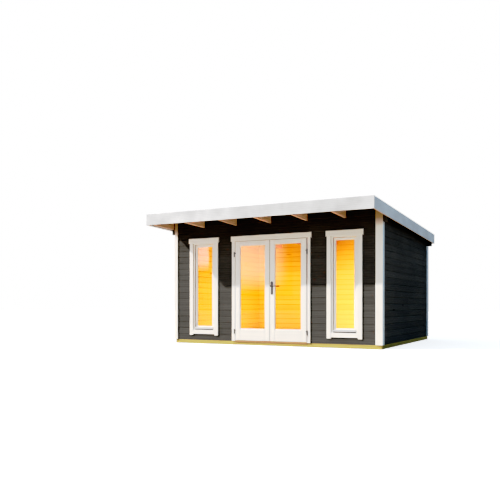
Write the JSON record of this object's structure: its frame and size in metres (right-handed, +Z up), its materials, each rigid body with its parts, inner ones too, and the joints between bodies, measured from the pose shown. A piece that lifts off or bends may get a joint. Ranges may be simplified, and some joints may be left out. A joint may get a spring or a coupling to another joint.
{
  "type": "garden office log cabin",
  "caption": "Garden office cabin of grey log walls under a flat sloping roof with a deep front overhang, with glazed double doors that swing out and tall narrow windows.",
  "frame": {"origin": "on the ground under the middle of the floor", "axes": "+X to the right along the front as one faces it, +Y from the front to the back, +Z up"},
  "size_m": [4.332, 4.5359, 2.4209],
  "materials": {
    "treated_timber": "rough sawn, pressure treated",
    "pine_boards": "planed, bare",
    "grey_logs": "matt anthracite stain outside",
    "pine_rafters": "planed, bare",
    "roof_felt": "slate grit",
    "white_fascia": "white stain, grain shows",
    "white_trim": "white paint, satin",
    "white_joinery": "white paint, satin",
    "threshold_wood": "bare, oiled",
    "glass": "clear",
    "hardware": "satin steel"
  },
  "bodies": {
    "house": {"front_base_beam": "treated_timber", "back_base_beam": "treated_timber", "left_base_beam": "treated_timber", "right_base_beam": "treated_timber", "floor_joists": "treated_timber", "floor": "pine_boards", "front_wall_left": "grey_logs", "front_wall_right": "grey_logs", "front_wall_over_door": "grey_logs", "back_wall": "grey_logs", "left_wall": "grey_logs", "right_wall": "grey_logs", "front_top_log": "grey_logs", "back_top_log": "grey_logs", "rafters": "pine_rafters", "roof_boards": "pine_boards", "roof_felt": "roof_felt", "front_fascia": "white_fascia", "back_fascia": "white_fascia", "left_fascia": "white_fascia", "right_fascia": "white_fascia", "front_left_corner_boards": "white_trim", "front_right_corner_boards": "white_trim", "back_left_corner_boards": "white_trim", "back_right_corner_boards": "white_trim", "door_frame": "white_joinery", "door_stops": "white_joinery", "door_threshold": "threshold_wood", "door_casing": "white_trim", "left_door_hinge_pins": "hardware", "right_door_hinge_pins": "hardware", "left_window_frame": "white_joinery", "left_window_sash": "white_joinery", "left_window_glass": "glass", "left_window_casing": "white_trim", "right_window_frame": "white_joinery", "right_window_sash": "white_joinery", "right_window_glass": "glass", "right_window_casing": "white_trim"},
    "left_door": {"left_door_leaf": "white_joinery", "left_door_glass": "glass", "left_door_hinge_knuckles": "hardware"},
    "right_door": {"right_door_leaf": "white_joinery", "right_door_glass": "glass", "right_door_hinge_knuckles": "hardware", "door_handle_plates": "hardware"},
    "lever": {"door_lever": "hardware"}
  },
  "joints": [
    {"name": "left_door_swing", "type": "hinge", "parent": "house", "child": "left_door", "pos_m": [-0.731, -1.804, 0.25], "axis": [0, 0, -1], "range_deg": [0, 110]},
    {"name": "right_door_swing", "type": "hinge", "parent": "house", "child": "right_door", "pos_m": [0.731, -1.804, 0.25], "axis": [0, 0, 1], "range_deg": [0, 110]},
    {"name": "lever_turn", "type": "hinge", "parent": "right_door", "child": "lever", "pos_m": [0.045, -1.7725, 1.08], "axis": [0, 1, 0], "range_deg": [0, 40], "stiffness_Nm_per_rad": 2, "springref_deg": -20.05}
  ]
}
